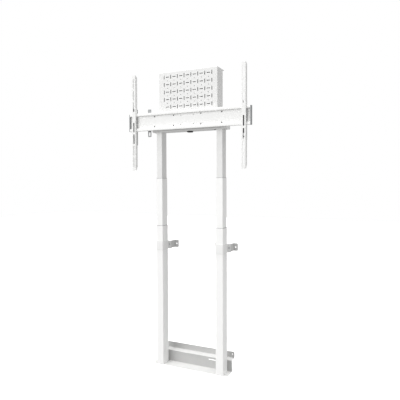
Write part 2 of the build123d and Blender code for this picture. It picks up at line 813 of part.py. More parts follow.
def build_media_bracket():
    """Perforated plate with a flange down each side and one along its top."""
    half = media_width / 2
    side_back = -media_front + media_side_depth
    top_back = -media_front + media_top_depth
    bend_outer = media_bend + media_sheet
    low = beam_top
    u_path = [(-half, side_back), (-half, -media_front), (half, -media_front), (half, side_back)]
    u_section = folded(u_path, media_sheet, [media_bend] * 2)
    plate = Pos(0, 0, low) * extrude(u_section, media_top - bend_outer - low)
    apron_half = half - bend_outer
    plate += block(-apron_half, apron_half, -media_front, -media_back, media_bottom, low)
    top_path = [
        (-media_front, media_top - 2 * bend_outer),
        (-media_front, media_top),
        (top_back, media_top),
    ]
    top_section = folded(list(reversed(top_path)), media_sheet, [media_bend])
    plate += cross_section_along_x(top_section, 2 * apron_half)
    columns_half = (media_columns - 1) / 2
    first_z = media_top - media_first_row
    front = facing_back(0, -media_front - cut_overrun, 0)
    cutters = []
    for row in range(media_rows):
        z = first_z - row * media_pitch
        for column in range(media_columns):
            x = (column - columns_half) * media_pitch
            corner_blank = row == media_rows - 1 and column == 0
            if not corner_blank:
                cutters.append(Location((x, -z)) * Rectangle(upright_slot_width, upright_slot_length))
            if column < media_columns - 1:
                middle_x = x + media_pitch / 2
                cutters.append(Location((middle_x, -z)) * Rectangle(level_slot_length, level_slot_width))
            if column < media_columns - 1 and row < media_rows - 1:
                cutters.append(Location((middle_x, -z + media_pitch / 2)) * Circle(plate_hole_d / 2))
    pattern = Sketch(children=cutters)
    plate -= extrude(front * pattern, media_sheet + 2 * cut_overrun)
    for x, z in bolt_places():
        if abs(x) == bolt_inner_x:
            plate -= wall_drill(bolt_d + 2 * hole_fit, x, z, -media_front, -media_back)
    for x, z in spare_places():
        plate -= wall_drill(spare_hole_d, x, z, -media_front, -media_back)
    keep("media_bracket", plate)


def build_back_panel():
    """Panel that closes the back of the media bracket, with a gap below it for a device."""
    half = media_width / 2 - media_sheet
    back = -media_front + media_side_depth
    front = back - back_panel_return
    path = [(half, front), (half, back), (-half, back), (-half, front)]
    low = beam_top + back_panel_gap
    high = media_top - media_sheet - seat_gap
    section = folded(path, media_sheet, [media_bend] * 2)
    keep("media_back_panel", Pos(0, 0, low) * extrude(section, high - low))


def build_cable_hook():
    """Grey hook behind the crossbar: a tab above it and an eye below it."""
    half = hook_width / 2
    top = bar_top + hook_above_bar
    bottom = bar_bottom - hook_below_bar
    strap_front = -media_front
    height = top - bottom
    plane = facing_back(hook_x, strap_front, (top + bottom) / 2)
    strap = extrude(plane * RectangleRounded(hook_width, height, hook_corner), hook_sheet)
    eye_rim = (hook_width - hook_eye_width) / 2
    eye_z = bottom + eye_rim + hook_eye_length / 2
    eye_plane = Plane(origin=(hook_x, strap_front - cut_overrun, eye_z), x_dir=(0, 0, 1), z_dir=(0, 1, 0))
    strap -= extrude(eye_plane * SlotOverall(hook_eye_length, hook_eye_width), hook_sheet + 2 * cut_overrun)
    pad_low = bar_middle - hook_pad_height / 2
    pad_high = bar_middle + hook_pad_height / 2
    strap += block(hook_x - half, hook_x + half, -bar_back, strap_front, pad_low, pad_high)
    keep("cable_hook", strap)


def arm_slot_heights():
    """Middles of the slots: one group up from the foot of an arm, one down from its head."""
    inset = arm_slot_margin + arm_slot_length / 2
    low = [arm_bottom + inset + i * arm_slot_pitch for i in range(arm_slots_low)]
    high = [arm_top - inset - i * arm_slot_pitch for i in range(arm_slots_high)]
    return low, high


def arm_slots(heights, width, length):
    """Cutters for slots down the front of an arm."""
    cutters = []
    for z in heights:
        plane = Plane(origin=(0, -arm_front - cut_overrun, z), x_dir=(0, 0, 1), z_dir=(0, 1, 0))
        cutters.append(extrude(plane * SlotOverall(length, width), arm_sheet + 2 * cut_overrun))
    return cutters


def build_arm(label, side):
    """Slotted channel, the claw nested in it that grips the crossbar, and its lock screw."""
    half = arm_width / 2
    back = -arm_front + arm_depth
    path = [(-half, back), (-half, -arm_front), (half, -arm_front), (half, back)]
    arm = Pos(0, 0, arm_bottom) * extrude(folded(path, arm_sheet, [arm_bend] * 2), arm_length)
    face_back = -arm_front + arm_sheet + arm_bend
    foot = [
        (face_back, arm_bottom - cut_overrun),
        (back + cut_overrun, arm_bottom - cut_overrun),
        (back + cut_overrun, arm_bottom + arm_foot_slope),
        (back, arm_bottom + arm_foot_slope),
        (face_back, arm_bottom),
    ]
    head = [
        (face_back, arm_top + cut_overrun),
        (back + cut_overrun, arm_top + cut_overrun),
        (back + cut_overrun, arm_top - arm_head_slope),
        (back, arm_top - arm_head_slope),
        (face_back, arm_top),
    ]
    notch_front = -bar_front - arm_gap
    notch = block(-half - cut_overrun, half + cut_overrun, notch_front, back + cut_overrun,
                  bar_bottom - arm_gap, bar_top + seat_gap)
    for outline in (foot, head):
        arm -= cross_section_along_x(make_face(Polyline(*outline, close=True)), arm_width + 2 * cut_overrun)
    arm -= notch
    low_slots, high_slots = arm_slot_heights()
    for cutter in arm_slots(low_slots + high_slots, arm_slot_width, arm_slot_length):
        arm -= cutter

    claw_half = half - arm_sheet
    claw_front = -arm_front + arm_sheet
    claw_back = -arm_front + claw_depth
    claw_low = bar_bottom - claw_below_bar
    claw_high = bar_top + claw_above_bar
    path = [
        (-claw_half, claw_back),
        (-claw_half, claw_front),
        (claw_half, claw_front),
        (claw_half, claw_back),
    ]
    claw = Pos(0, 0, claw_low) * extrude(folded(path, claw_sheet, [arm_bend] * 2), claw_high - claw_low)
    reach = claw_back + cut_overrun
    tooth_front = -bar_back + seat_gap
    bar_room = [
        (notch_front, bar_bottom - arm_gap),
        (reach, bar_bottom - arm_gap),
        (reach, bar_top - claw_tooth),
        (tooth_front, bar_top - claw_tooth),
        (tooth_front, bar_top + seat_gap),
        (notch_front, bar_top + seat_gap),
    ]
    low_slope = [
        (claw_back - claw_slope, claw_low - cut_overrun),
        (reach, claw_low - cut_overrun),
        (reach, claw_low + claw_slope + cut_overrun),
        (claw_back, claw_low + claw_slope),
        (claw_back - claw_slope, claw_low),
    ]
    high_slope = [
        (claw_back - claw_slope, claw_high + cut_overrun),
        (reach, claw_high + cut_overrun),
        (reach, claw_high - claw_slope - cut_overrun),
        (claw_back, claw_high - claw_slope),
        (claw_back - claw_slope, claw_high),
    ]
    for outline in (bar_room, low_slope, high_slope):
        claw -= cross_section_along_x(make_face(Polyline(*outline, close=True)), arm_width + 2 * cut_overrun)
    bridge_top = bar_bottom - lock_bridge_drop + lock_bridge
    bridge_half = claw_half - claw_sheet
    port_top = bar_bottom - claw_port_below_bar
    web_openings = [
        (bridge_half, claw_low - cut_overrun, bar_bottom - claw_web_below_bar),
        (claw_port_width / 2, port_top - claw_port_height, port_top),
        (bridge_half, bar_top + claw_web_above_bar, claw_high + cut_overrun),
    ]
    for opening_half, low, high in web_openings:
        claw -= block(-opening_half, opening_half, claw_front - cut_overrun,
                      claw_front + claw_sheet + claw_bend_room, low, high)
    bridge_front = claw_back - lock_bridge_depth
    claw += block(-bridge_half, bridge_half, bridge_front, claw_back, bridge_top - lock_bridge, bridge_top)
    lock_y = bridge_front + lock_bridge_depth / 2
    claw -= drum(lock_screw_d / 2 + running_gap, bridge_top - lock_bridge - cut_overrun,
                 bridge_top + cut_overrun, 0, lock_y)
    lock_low = bridge_top - lock_bridge - seat_gap - lock_head
    lock = extrude(RegularPolygon(lock_head_d / 2, 6), lock_head)
    lock = Pos(0, lock_y, lock_low) * lock
    lock += drum(lock_screw_d / 2, lock_low + lock_head, bar_bottom - seat_gap, 0, lock_y)
    place = Pos(side * arm_x, 0, 0)
    keep(label + "_arm", place * arm)
    keep(label + "_arm_claw", place * claw)
    keep(label + "_lock_screw", place * lock)


build_base_bracket()
build_base_screws()
for name, hand in sides.items():
    build_column(name, hand)
    build_drive(name, hand)
    build_wall_clamp(name, hand)
    build_arm(name, hand)
build_clamp_fasteners()
build_beam()
build_drive_units()
build_crossbar()
build_hangers()
build_media_bracket()
build_back_panel()
build_cable_hook()

os.makedirs("parts", exist_ok=True)
for name, shape in parts.items():
    shape.label = name
    export_step(shape, "parts/" + name + ".step")
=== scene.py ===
import math

import bmesh
import bpy
from mathutils import Matrix, Vector


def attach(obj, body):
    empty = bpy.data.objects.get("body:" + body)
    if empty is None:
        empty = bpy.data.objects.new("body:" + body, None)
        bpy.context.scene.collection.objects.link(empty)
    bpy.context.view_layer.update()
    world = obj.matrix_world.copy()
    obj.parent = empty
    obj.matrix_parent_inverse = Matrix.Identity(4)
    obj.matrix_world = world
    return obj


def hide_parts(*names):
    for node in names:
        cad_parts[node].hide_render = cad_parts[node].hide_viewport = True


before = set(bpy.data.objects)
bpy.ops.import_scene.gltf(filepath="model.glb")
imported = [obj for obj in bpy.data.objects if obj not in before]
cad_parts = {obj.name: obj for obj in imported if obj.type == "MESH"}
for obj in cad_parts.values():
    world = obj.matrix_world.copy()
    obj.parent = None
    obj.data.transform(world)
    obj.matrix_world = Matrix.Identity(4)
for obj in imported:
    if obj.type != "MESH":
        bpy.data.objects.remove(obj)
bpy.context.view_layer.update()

# A floor-standing column lift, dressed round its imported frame.
# Metres: X to the right along the crossbar, Y back to the wall, Z up, origin on the floor.
MM = 0.001
HANDS = {"left": -1, "right": 1}

# Camera, fitted to the photograph: its place, turn to the left, tilt, roll and lens
CAMERA_PLACE = (1.2563, -2.6078, 1.2605)
CAMERA_TURN = 24.48
CAMERA_TILT = -2.23
CAMERA_ROLL = -0.16
CAMERA_LENS = 38.54
CAMERA_SENSOR = 36.0
CAMERA_REACH = 60.0


def put_in_scene(name, data):
    """Object of some data, linked into the scene."""
    made = bpy.data.objects.new(name, data)
    bpy.context.scene.collection.objects.link(made)
    return made


def linear(code):
    """Linear colour, with alpha, of an sRGB hex code."""
    channels = [int(code[i:i + 2], 16) / 255 for i in (1, 3, 5)]
    return [c / 12.92 if c <= 0.04045 else ((c + 0.055) / 1.055) ** 2.4 for c in channels] + [1.0]


def add(tree, kind, inputs, output=None, **settings):
    """Add one node with its settings and links, and return the output that is asked for."""
    node = tree.nodes.new(kind)
    for name, value in settings.items():
        setattr(node, name, value)
    for key, value in inputs.items():
        if isinstance(value, bpy.types.NodeSocket):
            tree.links.new(value, node.inputs[key])
        else:
            node.inputs[key].default_value = value
    return None if output is None else node.outputs[output]


# Sockets of a Mix node that blends colours: its share, its two colours and what comes out
SHARE, FIRST, SECOND, BLENDED = 0, 6, 7, 2
# Nearly all of a noise lies between these values
NOISE_SPAN = {"From Min": 0.3, "From Max": 0.7}
# Cosines of the turns, about 6 and 37 degrees, at which an edge begins to show and shows fully
EDGE_SPAN = {"From Min": 0.995, "From Max": 0.8}


def start_material(name):
    """Empty material, its node tree and the object-space coordinates in metres."""
    material = bpy.data.materials.new(name)
    material.use_nodes = True
    tree = material.node_tree
    tree.nodes.clear()
    return material, tree, add(tree, "ShaderNodeTexCoord", {}, "Object")


def finish_material(tree, surface):
    """End a material in one shader with this surface."""
    shader = add(tree, "ShaderNodeBsdfPrincipled", surface, "BSDF")
    add(tree, "ShaderNodeOutputMaterial", {"Surface": shader})


def noise(tree, place, lump_mm, detail=2.0, roughness=0.5, stretch=(1, 1, 1)):
    """Noise whose lumps are about lump_mm across; stretch lengthens them along an axis."""
    scale = [1 / s for s in stretch]
    squeezed = add(tree, "ShaderNodeMapping", {"Vector": place, "Scale": scale}, "Vector")
    inputs = {"Vector": squeezed, "Scale": 1 / (lump_mm * MM),
              "Detail": detail, "Roughness": roughness}
    return add(tree, "ShaderNodeTexNoise", inputs, "Fac")


def two_tone(tree, pattern, colour, shade):
    """Colour that drifts between two tones with a noise."""
    span = {"Value": pattern, **NOISE_SPAN, "To Min": 0.0, "To Max": 1.0}
    share = add(tree, "ShaderNodeMapRange", span, "Result")
    inputs = {SHARE: share, FIRST: linear(colour), SECOND: linear(shade)}
    return add(tree, "ShaderNodeMix", inputs, BLENDED, data_type="RGBA")


def tint_edges_wear_and_shade(tree, body, edge_mm, strength, edge_colour):
    """Turn a colour towards another along sharp edges, as strongly as a number or pattern says:
    wear on most finishes, painted shadow on the clamps' straps.
    """
    rounded = add(tree, "ShaderNodeBevel", {"Radius": edge_mm * MM}, "Normal", samples=4)
    flat = add(tree, "ShaderNodeNewGeometry", {}, "Normal")
    match = add(tree, "ShaderNodeVectorMath", {0: rounded, 1: flat}, "Value",
                operation="DOT_PRODUCT")
    span = {"Value": match, **EDGE_SPAN, "To Min": 0.0, "To Max": 1.0}
    edges = add(tree, "ShaderNodeMapRange", span, "Result")
    edge_tint = add(tree, "ShaderNodeMath", {0: edges, 1: strength}, "Value", operation="MULTIPLY")
    inputs = {SHARE: edge_tint, FIRST: body, SECOND: linear(edge_colour)}
    return add(tree, "ShaderNodeMix", inputs, BLENDED, data_type="RGBA")


def soft_relief(tree, pattern, strength, depth_mm, round_mm):
    """Fine relief of a pattern, over edges that are rounded a little in their shading."""
    rounded = add(tree, "ShaderNodeBevel", {"Radius": round_mm * MM}, "Normal", samples=4)
    inputs = {"Strength": strength, "Distance": depth_mm * MM, "Height": pattern,
              "Normal": rounded}
    return add(tree, "ShaderNodeBump", inputs, "Normal")


def powder_coat(name, colour, shade, roughness, edge_colour, edge_mm=1.2):
    """Powder coat on steel: baked resin, slightly orange-peeled, thinner on sharp edges, where the
    clamps' straps take a painted shadow instead.
    """
    material, tree, place = start_material(name)
    # Thickness of the sprayed coat drifts over a hand's breadth
    body = two_tone(tree, noise(tree, place, lump_mm=90.0, detail=3.0), colour, shade)
    # Patches along bends and cut edges, where each coat takes its edge colour: a coat drawn thin
    # where that colour is lighter, dust gathered where it is darker, and painted shadow of the gap
    # on the clamps' straps
    patches = noise(tree, place, lump_mm=14.0, detail=3.0)
    span = {"Value": patches, **NOISE_SPAN, "To Min": 0.25, "To Max": 0.8}
    patchy = add(tree, "ShaderNodeMapRange", span, "Result")
    # Fine speckle of the baked powder, 6 mm so that it shows at all
    speckle = noise(tree, place, lump_mm=6.0, detail=4.0, roughness=0.7)
    span = {"Value": speckle, **NOISE_SPAN, "To Min": roughness - 0.05, "To Max": roughness + 0.06}
    gloss = add(tree, "ShaderNodeMapRange", span, "Result")
    # Dry rub marks from handling, a few centimetres long
    streaks = noise(tree, place, lump_mm=3.0, stretch=(9, 1, 1))
    span = {"Value": streaks, "From Min": 0.62, "From Max": 0.74, "To Min": 0.0, "To Max": 0.07}
    rubs = add(tree, "ShaderNodeMapRange", span, "Result")
    # Real orange peel is about 1.2 mm from crest to crest; 2 mm so that it shows
    peel = noise(tree, place, lump_mm=2.0, detail=1.5)
    finish_material(tree, {
        "Base Color": tint_edges_wear_and_shade(tree, body, edge_mm, patchy, edge_colour),
        "Roughness": add(tree, "ShaderNodeMath", {0: gloss, 1: rubs}, "Value", operation="ADD"),
        "IOR": 1.5,
        "Normal": soft_relief(tree, peel, strength=0.5, depth_mm=0.05, round_mm=0.6),
    })
    return material


def moulded_plastic(name, colour, shade, roughness, grain_mm, ior=1.53):
    """Injection-moulded plastic: fine spark-eroded grain, a little paler where it is rubbed."""
    material, tree, place = start_material(name)
    grain = noise(tree, place, grain_mm, detail=3.0, roughness=0.6)
    # Streams of the melt leave clouds about a thumb's breadth across
    body = two_tone(tree, noise(tree, place, lump_mm=25.0), colour, shade)
    span = {"Value": grain, **NOISE_SPAN, "To Min": roughness - 0.05, "To Max": roughness + 0.05}
    finish_material(tree, {
        "Base Color": tint_edges_wear_and_shade(tree, body, edge_mm=1.0, strength=0.25, edge_colour="#D8D8D8"),
        "Roughness": add(tree, "ShaderNodeMapRange", span, "Result"),
        "IOR": ior,
        "Normal": soft_relief(tree, grain, strength=0.35, depth_mm=0.04, round_mm=0.5),
    })
    return material


def worked_metal(name, colour, shade, roughness, metallic=1.0, grain_mm=0.8, stretch=(1, 1, 1)):
    """Machined, plated or cast metal: fine marks along the way that it was worked."""
    material, tree, place = start_material(name)
    marks = noise(tree, place, grain_mm, detail=4.0, roughness=0.65, stretch=stretch)
    body = two_tone(tree, noise(tree, place, lump_mm=12.0, detail=3.0), colour, shade)
    span = {"Value": marks, **NOISE_SPAN, "To Min": roughness - 0.08, "To Max": roughness + 0.1}
    relief = {"Strength": 0.3, "Distance": 0.02 * MM, "Height": marks}
    finish_material(tree, {
        "Base Color": body,
        "Metallic": metallic,
        "Roughness": add(tree, "ShaderNodeMapRange", span, "Result"),
        "Normal": add(tree, "ShaderNodeBump", relief, "Normal"),
    })
    return material


# Finishes, each named for what the real surface is and, where its colour paints shade, for that
# too: its kind, its two tones, its roughness and what else its kind asks for
RECIPES = {
    # Epoxy-polyester powder on folded sheet: satin, pure white
    "white_powder_coat": (powder_coat, "#F7F7F6", "#F3F3F2", 0.42, {"edge_colour": "#FFFFFF"}),
    # A greyer copy of the white coat on the straps of the clamps, painted shade for their ears,
    # with painted shadow along edges that stand off a column
    "clamp_coat_painted_shade": (powder_coat, "#F0F0EF", "#EBEBEA", 0.46,
                          {"edge_colour": "#8E8E8E", "edge_mm": 2.5}),
    # Light grey copy of the white coat on the brackets that the clamps are screwed to: painted
    # shade, as they sit behind the columns
    "bracket_coat_painted_shade": (powder_coat, "#CDCDCC", "#C8C8C7", 0.5, {"edge_colour": "#B4B4B4"}),
    # A duller, greyer copy of the white coat on the inner tubes, the motor beam and the perforated
    # plate: painted shade for parts that sit under the crossbar and behind what hangs on it
    "white_coat_painted_shade": (powder_coat, "#E9E9E8", "#E5E5E4", 0.44, {"edge_colour": "#F3F3F3"}),
    # A thin coat on the arms, greyed along their cut edges by handling
    "arm_powder_coat": (powder_coat, "#F1F1F0", "#EDEDEC", 0.44,
                        {"edge_colour": "#BDBDBD", "edge_mm": 2.0}),
    # The same powder on drawn tube, a little smoother
    "white_tube_coat": (powder_coat, "#F8F8F7", "#F5F5F4", 0.34, {"edge_colour": "#FFFFFF"}),
    # Pale grey powder of the floor bracket: painted shade that keeps its upright faces darker than
    # the columns, while the overhead lamp still lights its tops white
    "pale_grey_coat": (powder_coat, "#BBBBBA", "#B6B6B5", 0.5, {"edge_colour": "#D2D2D2"}),
    # Black powder of the panel behind the perforated plate and of the claws inside the arms:
    # painted shade seen through their slots, the panel's black partly its own colour
    "black_powder_coat": (powder_coat, "#18181A", "#151517", 0.45, {"edge_colour": "#303031"}),
    # Moulded nylon: matt, slightly waxy grey line at the mouth of each tube
    "collar_nylon": (moulded_plastic, "#8E8E90", "#868688", 0.55, {"grain_mm": 0.8}),
    # Grained ABS of the end caps and cable hook
    "grey_abs": (moulded_plastic, "#9EA0A1", "#989A9B", 0.48, {"grain_mm": 0.6}),
    # Black ABS of the control box, with the same grain
    "black_abs": (moulded_plastic, "#1B1B1C", "#202021", 0.5, {"grain_mm": 0.6}),
    # Smoked polycarbonate window of the infrared receiver
    "receiver_lens": (moulded_plastic, "#060607", "#0A0A0B", 0.24, {"grain_mm": 2.0, "ior": 1.5}),
    # EPDM rubber of the cable grommet: dull, faintly dusty black
    "black_rubber": (moulded_plastic, "#1E1E1E", "#262626", 0.75, {"grain_mm": 0.5}),
    # Natural acetal of the nuts, shoes and glides: milky white, slippery
    "nut_acetal": (moulded_plastic, "#EDEBE2", "#E6E4DA", 0.38, {"grain_mm": 1.0}),
    # Bright zinc plate on the other screws and nuts, cold-formed from steel
    "zinc_steel": (worked_metal, "#C9CBCE", "#BDBFC3", 0.32, {}),
    # Blackened steel of crossbar bolts and motors: nearly all of its reflection is gone
    "black_steel": (worked_metal, "#1A1A1B", "#242425", 0.42, {"metallic": 0.35}),
    # Rolled trapezoid screws under a film of grease, marked lengthwise
    "drive_steel": (worked_metal, "#A9ABAE", "#9A9CA0", 0.28, {"stretch": (1, 1, 8)}),
    # Die-cast aluminium of the gear boxes, with the skin of its mould
    "gear_case": (worked_metal, "#A6A8AA", "#989A9D", 0.5, {"grain_mm": 1.5}),
}
FINISHES = {name: make(name, *basics, **rest) for name, (make, *basics, rest) in RECIPES.items()}

# Nodes whose coat differs a little from that of their record slot
OWN_COATS = {
    "clamp_coat_painted_shade": ("left_clamp_strap", "right_clamp_strap"),
    "bracket_coat_painted_shade": ("left_wall_bracket", "right_wall_bracket"),
    "white_coat_painted_shade": ("media_bracket", "beam_housing", "left_inner_tube", "right_inner_tube"),
    "arm_powder_coat": ("left_arm", "right_arm"),
}


def dress_frame():
    """Give every CAD node the finish of its record slot, or a coat of its own."""
    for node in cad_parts.values():
        for slot in node.material_slots:
            slot.material = FINISHES[slot.material.name.split(".")[0]]
    for finish, names in OWN_COATS.items():
        for name in names:
            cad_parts[name].material_slots[0].material = FINISHES[finish]


# Strength of the pale surround that lights the part, and of what the camera sees of it
SURROUND = 0.51
BACKDROP = 1.0
# Large soft lamps, far away: where each shines from, its spread in degrees and its strength
LAMPS = {
    "overhead": ((0.0, 0.0, 1.0), 35.0, 4.2),
    "high_front": ((-0.8, -1.0, 1.0), 45.0, 1.14),
    "low_front": ((-0.6, -1.0, 0.35), 45.0, 0.78),
    "right": ((1.0, -0.2, 0.3), 45.0, 0.08),
    "back": ((-0.5, 1.0, 0.6), 45.0, 0.5),
}
# Soft strip beside the part, low on its right: place, where it shines from, size and watts
STRIP_PLACE = (1.4, -0.1, 0.35)
STRIP_SOURCE = (1.0, 0.0, 0.0)
STRIP_SIZE = 0.5
STRIP_POWER = 1.9


def hang_lamp(name, kind, source, strength):
    """Lamp of a kind that shines from a direction with a strength."""
    lamp = put_in_scene(name, bpy.data.lights.new(name, kind))
    lamp.data.energy = strength
    lamp.rotation_euler = Vector(source).to_track_quat("Z", "Y").to_euler()
    return lamp


def light_studio():
    """A white studio: pale surround, a broad light from above and weaker ones from the sides."""
    world = bpy.data.worlds.new("studio_surround")
    bpy.context.scene.world = world
    world.use_nodes = True
    tree = world.node_tree
    tree.nodes.clear()
    white = linear("#FFFFFF")
    lit = add(tree, "ShaderNodeBackground", {"Color": white, "Strength": SURROUND}, "Background")
    seen = add(tree, "ShaderNodeBackground", {"Color": white, "Strength": BACKDROP}, "Background")
    camera_ray = add(tree, "ShaderNodeLightPath", {}, "Is Camera Ray")
    both = add(tree, "ShaderNodeMixShader", {0: camera_ray, 1: lit, 2: seen}, "Shader")
    add(tree, "ShaderNodeOutputWorld", {"Surface": both})
    for name, (source, width, strength) in LAMPS.items():
        hang_lamp(name, "SUN", source, strength).data.angle = math.radians(width)
    strip = hang_lamp("side_strip", "AREA", STRIP_SOURCE, STRIP_POWER)
    strip.data.shape = "SQUARE"
    strip.data.size = STRIP_SIZE
    strip.location = STRIP_PLACE
    strip.visible_camera = False


# Half the side of the square floor
FLOOR_HALF = 12.0


def lay_floor():
    """Pale floor, well past the view, with a faint trowelled texture."""
    mesh = bpy.data.meshes.new("studio_floor")
    made = bmesh.new()
    bmesh.ops.create_grid(made, x_segments=8, y_segments=8, size=FLOOR_HALF)
    made.to_mesh(mesh)
    made.free()
    floor = put_in_scene("studio_floor", mesh)
    material, tree, place = start_material("pale_floor")
    clouds = noise(tree, place, lump_mm=400.0, detail=3.0)
    finish_material(tree, {
        "Base Color": two_tone(tree, clouds, "#F4F4F4", "#F0F0F0"),
        "Roughness": 0.8,
    })
    mesh.materials.append(material)
    # The photograph's part is neither lit from below nor mirrored by its floor
    floor.visible_diffuse = False
    floor.visible_glossy = False


def place_camera():
    """Camera at the photograph's place and angle."""
    data = bpy.data.cameras.new("photo_camera")
    data.sensor_width = CAMERA_SENSOR
    data.lens = CAMERA_LENS
    data.clip_end = CAMERA_REACH
    camera = put_in_scene("photo_camera", data)
    upright = Matrix.Rotation(math.radians(90 + CAMERA_TILT), 4, "X")
    turned = Matrix.Rotation(math.radians(CAMERA_TURN), 4, "Z")
    rolled = Matrix.Rotation(math.radians(CAMERA_ROLL), 4, "Z")
    camera.matrix_world = Matrix.Translation(CAMERA_PLACE) @ turned @ upright @ rolled
    bpy.context.scene.camera = camera


# Turned forms and the places of screws are in millimetres; set_in brings them to metres.
# Points round every turned ring: four to each side of a hexagon
ROUND = 24
# Sections along one pitch of a thread, and how steeply its flanks rise from root to crest
THREAD_CUTS = 6
FLANK_RISE = 0.8
# Threads: radius, radius at the root and pitch
M5 = (2.5, 2.05, 0.8)
M6 = (3.0, 2.45, 1.0)


def ring(radius, height):
    """Circle of points round the axis."""
    turns = [2 * math.pi * i / ROUND for i in range(ROUND)]
    return [(radius * math.cos(a), radius * math.sin(a), height) for a in turns]


def turned_rings(profile):
    """Rings of a turned profile, which gives the radius and height of each."""
    return [ring(radius, height) for radius, height in profile]


def hexagon(across, height, crown=None):
    """Hexagon of points; a crown radius chamfers its corners at thirty degrees."""
    points = []
    for i in range(ROUND):
        a = 2 * math.pi * i / ROUND
        reach = across / 2 / math.cos(a % (math.pi / 3) - math.pi / 6)
        drop = 0 if crown is None else max(0, reach - crown) * math.tan(math.radians(30))
        points.append((reach * math.cos(a), reach * math.sin(a), height - drop))
    return points


def cut_thread(size, low, high, starts=1):
    """Rings of a right-handed thread, from low to high."""
    radius, root, pitch = size
    cuts = max(2, round((high - low) / pitch * THREAD_CUTS))
    rings = []
    for cut in range(cuts + 1):
        height = low + (high - low) * cut / cuts
        # The thread runs out over its first and last half pitch
        fade = min(1.0, 2 * cut / THREAD_CUTS, 2 * (cuts - cut) / THREAD_CUTS)
        points = []
        for i in range(ROUND):
            a = 2 * math.pi * i / ROUND
            wave = math.cos(2 * math.pi * height / pitch - starts * a)
            share = min(1.0, max(0.0, 0.5 + FLANK_RISE * wave))
            reach = radius - (radius - root) * (1 - share) * fade
            points.append((reach * math.cos(a), reach * math.sin(a), height))
        rings.append(points)
    return rings


def shell(rings, hollow=False):
    """Points and faces of stacked rings; a hollow piece's last ring joins its first."""
    points = [point for one in rings for point in one]
    total = len(rings)
    faces = []
    for level in range(total if hollow else total - 1):
        low = level * ROUND
        high = (level + 1) % total * ROUND
        for i in range(ROUND):
            j = (i + 1) % ROUND
            faces.append((low + i, low + j, high + j, high + i))
    if not hollow:
        faces.append(tuple(reversed(range(ROUND))))
        faces.append(tuple(range((total - 1) * ROUND, total * ROUND)))
    return points, faces


# Socket: bevel at its mouth, and the drill's step, depth, point and share of the width at its floor
MOUTH_BEVEL = 0.15
DRILL_STEP = 0.02
DRILL_DEPTH = 0.35
DRILL_POINT = 0.15
DRILL_SHARE = 0.9
# Shank: share of the thread's depth that its chamfered end takes, and the plain neck under the head
TIP_SHARE = 0.2
NECK = 0.2
# Hexagon: height of the washer face, and the circle inside its chamfer as a share of its width
WASHER_FACE = 0.25
CROWN_SHARE = 0.95


def socket(across, top, floor, rim):
    """Rings down into a hexagon socket: bevelled mouth, walls and a drilled point."""
    return [
        ring(rim, top),
        hexagon(across, top - MOUTH_BEVEL),
        hexagon(across, floor),
        ring(across / 2 * DRILL_SHARE, floor - DRILL_STEP),
        ring(DRILL_POINT, floor - DRILL_DEPTH),
    ]


def shank(size, end):
    """Rings of a threaded shank from its chamfered end up to the head's seat at zero."""
    radius, root, _ = size
    lead_in = radius - root
    tip = [ring(root, -end), ring(root + lead_in * TIP_SHARE, -end + lead_in)]
    return tip + cut_thread(size, -end + (1 + TIP_SHARE) * lead_in, -NECK)


def dome(head_radius, rim, low, high, steps):
    """Rings from the foot of a head up its side and in over its shoulder to the socket's rim."""
    rings = [ring(head_radius, 0)]
    for step in range(steps + 1):
        a = math.radians(90) * step / steps
        reach = rim + (head_radius - rim) * math.cos(a)
        rings.append(ring(reach, low + (high - low) * math.sin(a)))
    return rings


def button_screw(head_radius, head, across, size, end):
    """Button-head screw: a low dome with a hexagon socket."""
    side = 0.3
    rim = across / 2 * 1.5
    rings = shank(size, end) + dome(head_radius, rim, side, head, steps=7)
    return shell(rings + socket(across, top=head - 0.03, floor=head * 0.42, rim=rim * 0.93))


def pan_screw(head_radius, head, across, size, end):
    """Pan-head screw: upright side, rounded shoulder and a hexagon socket."""
    side = head * 0.45
    rim = across / 2 * 1.35
    rings = shank(size, end) + dome(head_radius, rim, side, head, steps=5)
    return shell(rings + socket(across, top=head - 0.02, floor=head * 0.4, rim=rim * 0.95))


def countersunk_screw(head_radius, head, across, size, end):
    """Countersunk screw with a hexagon socket, its face at zero and its shank below."""
    radius, root, _ = size
    # Upright edge of the head, blunt tip, start of the thread above it and plain neck
    edge, blunt, tip, start, neck = 0.25, 0.1, 0.5, 0.7, 0.1
    rings = [ring(root, -end), ring(root + blunt, -end + tip)]
    rings += cut_thread(size, -end + start, -head - neck)
    rings += [ring(radius, -head), ring(head_radius, -edge), ring(head_radius, 0)]
    return shell(rings + socket(across, top=0, floor=-head * 0.8, rim=across / 2 * 1.25))


def hexagon_screw(across, head, size, end):
    """Hexagon-head screw: washer face, chamfered corners and a shallow dish on top."""
    crown = across / 2 * CROWN_SHARE
    under = [ring(crown, 0), ring(crown, WASHER_FACE), hexagon(across, WASHER_FACE)]
    top = [hexagon(across, head, crown), ring(crown, head)]
    rim_share, floor_share, depth = 0.72, 0.66, 0.25
    dish = [ring(crown * rim_share, head), ring(crown * floor_share, head - depth)]
    return shell(shank(size, end) + under + top + dish)


def hexagon_nut(across, height, size):
    """Hexagon nut, chamfered on both faces, threaded through."""
    radius, _, pitch = size
    crown = across / 2 * CROWN_SHARE
    # Room round the screw's thread at the crests, at the roots and in the mouths, and their depth
    crest_room, root_room, mouth_room, mouth_depth = 0.05, 0.35, 0.6, 0.4
    over = hexagon(across, height, crown)
    under = [(x, y, height - z) for x, y, z in over]
    bore = cut_thread((radius + root_room, radius + crest_room, pitch),
                      mouth_depth, height - mouth_depth)
    rings = [ring(radius + mouth_room, 0), ring(crown, 0), under, over]
    rings += [ring(crown, height), ring(radius + mouth_room, height)] + bore[::-1]
    return shell(rings, hollow=True)


# Ways that a piece's own axis, from its shank out through its head, points in the part
FORWARD = Matrix.Rotation(math.radians(90), 4, "X")
BACKWARD = Matrix.Rotation(math.radians(-90), 4, "X")
UPWARD = Matrix.Identity(4)
DOWNWARD = Matrix.Rotation(math.radians(180), 4, "X")
# Faces that turn by more than this meet in a sharp edge
SHARP = math.radians(38)


